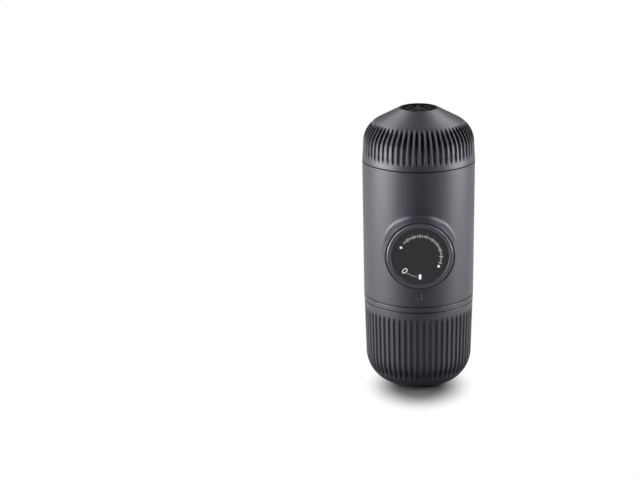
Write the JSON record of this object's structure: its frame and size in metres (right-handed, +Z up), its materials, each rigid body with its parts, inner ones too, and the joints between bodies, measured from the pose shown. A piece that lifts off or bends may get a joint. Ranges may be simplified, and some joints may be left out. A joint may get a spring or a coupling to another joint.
{
  "type": "handheld manual espresso maker",
  "caption": "Capsule-shaped hand-pumped espresso maker with fluted water tank and cup, side pump knob, outlet head with filter basket and working valves.",
  "frame": {"origin": "centre of the flat foot of the cup, on the body's long axis", "axes": "+Z up along the body's axis, -Y towards the pump knob, +X to the right seen from the knob's side"},
  "size_m": [0.062, 0.071, 0.156],
  "materials": {
    "shell_grey": "satin moulded plastic, dark grey",
    "knob_grey": "satin moulded plastic, dark grey",
    "dial_black": "matt charcoal disc",
    "inner_black": "moulded glass-filled plastic, black",
    "bearing_white": "acetal, natural white",
    "gloss_black": "polished black",
    "silicone": "matt silicone",
    "steel": "stainless steel"
  },
  "bodies": {
    "cup": {"cup_shell": "shell_grey"},
    "outlet_head": {"head_shell": "shell_grey", "cup_grip_ring": "silicone", "spout_nozzle": "inner_black", "filter_basket": "steel"},
    "brew_gasket_ring": {"brew_gasket": "silicone"},
    "main_body": {"main_shell": "shell_grey", "lower_collar": "inner_black", "upper_collar": "inner_black", "brew_head": "inner_black", "shower_screen": "steel", "shower_screw": "steel", "valve_block": "inner_black", "pump_frame": "inner_black", "pump_cylinder": "inner_black", "guide_bush": "bearing_white", "lock_ring": "inner_black", "water_deck": "inner_black", "inlet_strainer": "steel", "chassis_screws": "steel", "inlet_valve_seat": "bearing_white", "inlet_valve_spring": "steel", "outlet_valve_seat": "bearing_white", "outlet_valve_spring": "steel", "piston_spring": "steel"},
    "inlet_poppet": {"inlet_valve_poppet": "silicone"},
    "outlet_poppet": {"outlet_valve_poppet": "silicone"},
    "piston": {"piston_tube": "inner_black", "piston_seal": "silicone"},
    "knob": {"knob_shell": "knob_grey", "dial_disc": "dial_black", "knob_screw": "steel"},
    "tank_seal_ring": {"tank_seal": "silicone"},
    "tank": {"tank_shell": "shell_grey", "vent_insert": "gloss_black", "vent_valve": "silicone"}
  },
  "joints": [
    {"name": "cup_pull", "type": "slide", "parent": "cup", "child": "outlet_head", "axis": [0, 0, 1], "range_m": [0, 0.06]},
    {"name": "body_turn", "type": "hinge", "parent": "outlet_head", "child": "brew_gasket_ring", "pos_m": [0, 0, 0.0512], "axis": [0, 0, 1], "range_deg": [0, 360]},
    {"name": "body_rise", "type": "slide", "parent": "brew_gasket_ring", "child": "main_body", "axis": [0, 0, 1], "range_m": [0, 0.009]},
    {"name": "tank_turn", "type": "hinge", "parent": "main_body", "child": "tank_seal_ring", "pos_m": [0, 0, 0.12], "axis": [0, 0, 1], "range_deg": [0, 360]},
    {"name": "tank_rise", "type": "slide", "parent": "tank_seal_ring", "child": "tank", "axis": [0, 0, 1], "range_m": [0, 0.009]},
    {"name": "pump_stroke", "type": "slide", "parent": "main_body", "child": "piston", "axis": [0, -1, 0], "range_m": [0, 0.018], "deforming": ["piston_spring"]},
    {"name": "knob_twist", "type": "hinge", "parent": "piston", "child": "knob", "pos_m": [0, -0.04, 0.083], "axis": [0, -1, 0], "range_deg": [0, 46]},
    {"name": "inlet_valve_open", "type": "slide", "parent": "main_body", "child": "inlet_poppet", "axis": [0, 0, -1], "range_m": [0, 0.0012], "stiffness_N_per_m": 20, "springref_m": -0.003, "deforming": ["inlet_valve_spring"]},
    {"name": "outlet_valve_open", "type": "slide", "parent": "main_body", "child": "outlet_poppet", "axis": [0, 0, -1], "range_m": [0, 0.0012], "stiffness_N_per_m": 20, "springref_m": -0.003, "deforming": ["outlet_valve_spring"]}
  ],
  "couplings": [
    {"joint": "body_rise", "follows": "body_turn", "m_per_rad": 0.00143},
    {"joint": "tank_rise", "follows": "tank_turn", "m_per_rad": 0.00143}
  ]
}
